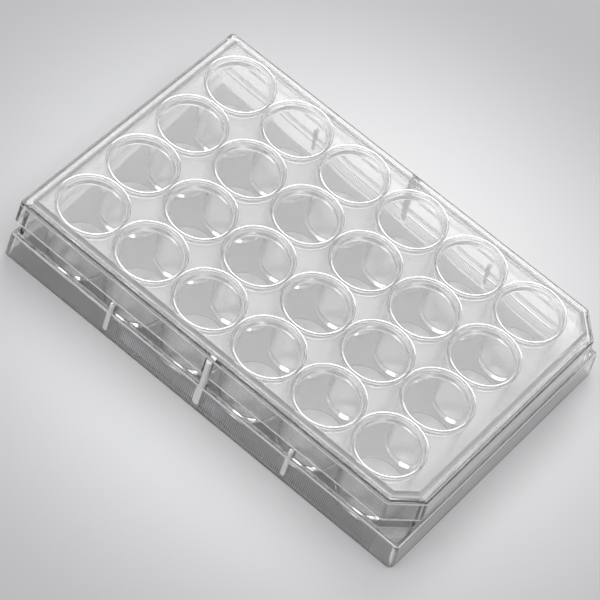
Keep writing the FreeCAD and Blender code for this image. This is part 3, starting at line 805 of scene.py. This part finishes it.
def clear_polystyrene(name, finish, seed, edges, ribs=(), matt_faces=()):
    """Clear moulded polystyrene: a refracting body with a faint haze in patches, slow ripples where
    the melt flowed, and fine handling marks. Painted highlights: the edges and the ribs are made
    milky, with less transmission, so that they show as bright lines and bars. A rib has a face, a
    centre, a foot and half a width. A matt face adds a roughness between two heights."""
    graph = Graph(name)
    x, y, z = graph.add("ShaderNodeSeparateXYZ", {"Vector": graph.place})
    shifted = graph.add("ShaderNodeMapping", {
        "Vector": graph.place, "Location": (seed, SEED_SHARE * seed, 0.0)})["Vector"]

    clearest, cloudiest = HAZE_LEVELS
    roughness = graph.add("ShaderNodeMapRange", {
        "Value": graph.noise(shifted, *HAZE_NOISE), "From Min": clearest, "From Max": cloudiest,
        "To Min": finish.polish, "To Max": finish.haze})["Result"]
    for added, limits in matt_faces:
        roughness = graph.maths("MULTIPLY_ADD", graph.within(z, *limits), added, roughness)

    # Painted highlights: milky bands at the edges and in the ribs lower the transmission there, so
    # they show bright.
    clear = 1.0
    for share, band, reach_limits, height_limits in edges:
        here = graph.maths("MULTIPLY", graph.within(graph.reach(x, y, band), *reach_limits),
                           graph.within(z, *height_limits))
        clear = graph.maths("MULTIPLY_ADD", here, -share, clear)
    for rib in ribs:
        clear = graph.maths("MULTIPLY_ADD", graph.rib(x, y, z, *rib), -finish.painted_rib_highlight, clear)

    normal = {}
    for noise, height in ((RIPPLE_NOISE, finish.ripple), (MARK_NOISE, MARK_HEIGHT)):
        bump = graph.add("ShaderNodeBump", {
            "Height": graph.noise(shifted, *noise), "Strength": 1.0, "Distance": height, **normal})
        normal = {"Normal": bump["Normal"]}
    graph.feed(graph.shader, {
        "Base Color": (*finish.tint, 1.0), "IOR": finish.refraction, "Roughness": roughness,
        "Transmission Weight": clear, **normal})
    return graph.material


def floor_finish(studio):
    """Matt pale board with a painted pool of light: paler round the object, falling off to a deeper
    grey away from it.
    """
    graph = Graph("floor_board")
    away = graph.add("ShaderNodeVectorMath", {0: graph.place, 1: (0.0, studio.floor_centre, 0.0)},
                     operation="DISTANCE")["Value"]
    share = graph.add("ShaderNodeMapRange", {
        "Value": away, "From Min": studio.floor_near, "From Max": studio.floor_fall},
        interpolation_type="SMOOTHSTEP")["Result"]
    shade = graph.add("ShaderNodeMix", {
        "A": (*studio.floor_colour, 1.0), "B": (*studio.floor_painted_falloff, 1.0), "Factor": share},
        data_type="RGBA")["Result"]
    graph.feed(graph.shader, {"Base Color": shade, "Roughness": 0.9, "Specular IOR Level": 0.1})
    return graph.material


# ---------------------------------------------------------------- operators
def place_object(name, data, place, axes):
    """An object at a place, turned so that its own axes lie along three directions."""
    placed = bpy.data.objects.new(name, data)
    placed.location = place
    placed.rotation_mode = "QUATERNION"
    placed.rotation_quaternion = Matrix(axes).transposed().to_quaternion()
    bpy.context.scene.collection.objects.link(placed)
    return placed


def add_softbox(name, softbox, power):
    """A rectangular lamp that faces the object, with its first side along a direction."""
    place, along, size = softbox
    lamp = bpy.data.lights.new(name, "AREA")
    lamp.shape = "RECTANGLE"
    lamp.size, lamp.size_y = size
    lamp.energy = power
    back = Vector(place).normalized()
    side = (Vector(along) - back * back.dot(Vector(along))).normalized()
    place_object(name, lamp, place, (side, back.cross(side), back))


class CULTUREPLATE_OT_plate(bpy.types.Operator):
    """Build the plate in place of its plain solid."""

    bl_idname = "cultureplate.plate"
    bl_label = "Build Plate"

    def execute(self, context):
        sizes, finish = context.scene.culture_plate_sizes, context.scene.culture_plate_finish
        piece = plate_shell(sizes).finish("plate_clear")
        flange, face = flange_band(sizes), sizes.rib_face
        deck = PLATE_HIGH.z - sizes.deck_recess
        matt_faces = [(finish.deck_matt, (deck - sizes.deck_thickness - FACE_PLAY, deck + FACE_PLAY)),
                      (finish.foot_matt, (PLATE_LOW.z - FACE_PLAY, PLATE_LOW.z + FACE_PLAY))]
        # Painted highlights: a milky line along the flange's top edge, and milky ribs and key.
        edges = [painted_highlight_line(finish.painted_edge_highlight, flange, face, sizes.flange_height, FLANGE_HIGHLIGHT)]
        ribs = [(face, centre, sizes.rib_bottom + half, half) for centre, half in ribs_and_key(sizes)]
        piece.data.materials.append(
            clear_polystyrene("clear_polystyrene_plate", finish, PLATE_SEED, edges, ribs, matt_faces))
        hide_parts("plate")
        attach(piece, "root")
        return {"FINISHED"}


class CULTUREPLATE_OT_lid(bpy.types.Operator):
    """Build the lid in place of its plain solid."""

    bl_idname = "cultureplate.lid"
    bl_label = "Build Lid"

    def execute(self, context):
        sizes, finish = context.scene.culture_lid_sizes, context.scene.culture_plate_finish
        piece = lid_shell(sizes).finish("lid_clear")
        skirt, panel = lid_bands(sizes)
        # Painted highlights: milky lines along the skirt's hem, the shoulder and the step round the
        # panel.
        edges = [painted_highlight_line(finish.painted_edge_highlight, skirt, skirt.reach, LID_LOW.z, HEM_HIGHLIGHT),
                 painted_highlight_line(finish.painted_edge_highlight, skirt, skirt.reach, sizes.ledge_top, SHOULDER_HIGHLIGHT),
                 painted_highlight_line(finish.painted_step_highlight, panel, panel.reach, sizes.ledge_top, STEP_HIGHLIGHT)]
        piece.data.materials.append(
            clear_polystyrene("clear_polystyrene_lid", finish, LID_SEED, edges))
        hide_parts("lid")
        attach(piece, "root")
        return {"FINISHED"}


class CULTUREPLATE_OT_stage(bpy.types.Operator):
    """Lay the floor, hang the lamps and set the camera."""

    bl_idname = "cultureplate.stage"
    bl_label = "Build Stage"

    def execute(self, context):
        scene, studio = context.scene, context.scene.culture_plate_studio
        angle = np.arange(FLOOR_SIDES) * 2.0 * math.pi / FLOOR_SIDES
        rim = np.column_stack([FLOOR_RADIUS * np.cos(angle), FLOOR_RADIUS * np.sin(angle),
                               np.full(FLOOR_SIDES, -studio.floor_gap)])
        mesh = bpy.data.meshes.new("floor")
        mesh.from_pydata(rim.tolist(), [], [list(range(FLOOR_SIDES))])
        mesh.materials.append(floor_finish(studio))
        floor = bpy.data.objects.new("floor", mesh)
        scene.collection.objects.link(floor)

        add_softbox("window", WINDOW, studio.window_power)
        add_softbox("overhead", OVERHEAD, studio.overhead_power)

        world = bpy.data.worlds.new("studio")
        world.use_nodes = True
        scene.world = world
        background = world.node_tree.nodes["Background"]
        background.inputs["Strength"].default_value = studio.sky_strength
        background.inputs["Color"].default_value = (*studio.sky_colour, 1.0)

        back = Vector((math.sin(studio.azimuth) * math.cos(studio.elevation),
                       -math.cos(studio.azimuth) * math.cos(studio.elevation),
                       math.sin(studio.elevation)))
        level_up = (Vector((0.0, 0.0, 1.0)) - back * back.z).normalized()
        up = level_up * math.cos(studio.roll) + level_up.cross(back) * math.sin(studio.roll)
        camera = bpy.data.cameras.new("camera")
        camera.sensor_width = 36.0
        camera.lens = studio.lens
        camera.clip_start, camera.clip_end = 0.05, 20.0
        scene.camera = place_object("camera", camera, Vector(CAMERA_TARGET) + back * studio.distance,
                                    (up.cross(back), up, back))

        scene.view_settings.view_transform = "Standard"
        cycles = scene.cycles
        cycles.max_bounces = cycles.transmission_bounces = cycles.transparent_max_bounces = 24
        cycles.glossy_bounces = 8
        return {"FINISHED"}


class CULTUREPLATE_PT_panel(bpy.types.Panel):
    """Lists the builders."""

    bl_idname = "CULTUREPLATE_PT_panel"
    bl_label = "Culture Plate"
    bl_space_type = "VIEW_3D"
    bl_region_type = "UI"
    bl_category = "Culture Plate"

    def draw(self, context):
        for operator in OPERATORS:
            self.layout.operator(operator.bl_idname)


OPERATORS = (CULTUREPLATE_OT_plate, CULTUREPLATE_OT_lid, CULTUREPLATE_OT_stage)
CLASSES = (PlateSizes, LidSizes, Finish, Studio, *OPERATORS, CULTUREPLATE_PT_panel)
SETTINGS = {
    "culture_plate_sizes": PlateSizes,
    "culture_lid_sizes": LidSizes,
    "culture_plate_finish": Finish,
    "culture_plate_studio": Studio,
}


def register():
    for each in CLASSES:
        bpy.utils.register_class(each)
    for name, group in SETTINGS.items():
        setattr(bpy.types.Scene, name, bpy.props.PointerProperty(type=group))


def unregister():
    for name in SETTINGS:
        delattr(bpy.types.Scene, name)
    for each in reversed(CLASSES):
        bpy.utils.unregister_class(each)


def main():
    register()
    bpy.ops.cultureplate.plate()
    bpy.ops.cultureplate.lid()
    bpy.ops.cultureplate.stage()


if __name__ == "__main__":
    main()
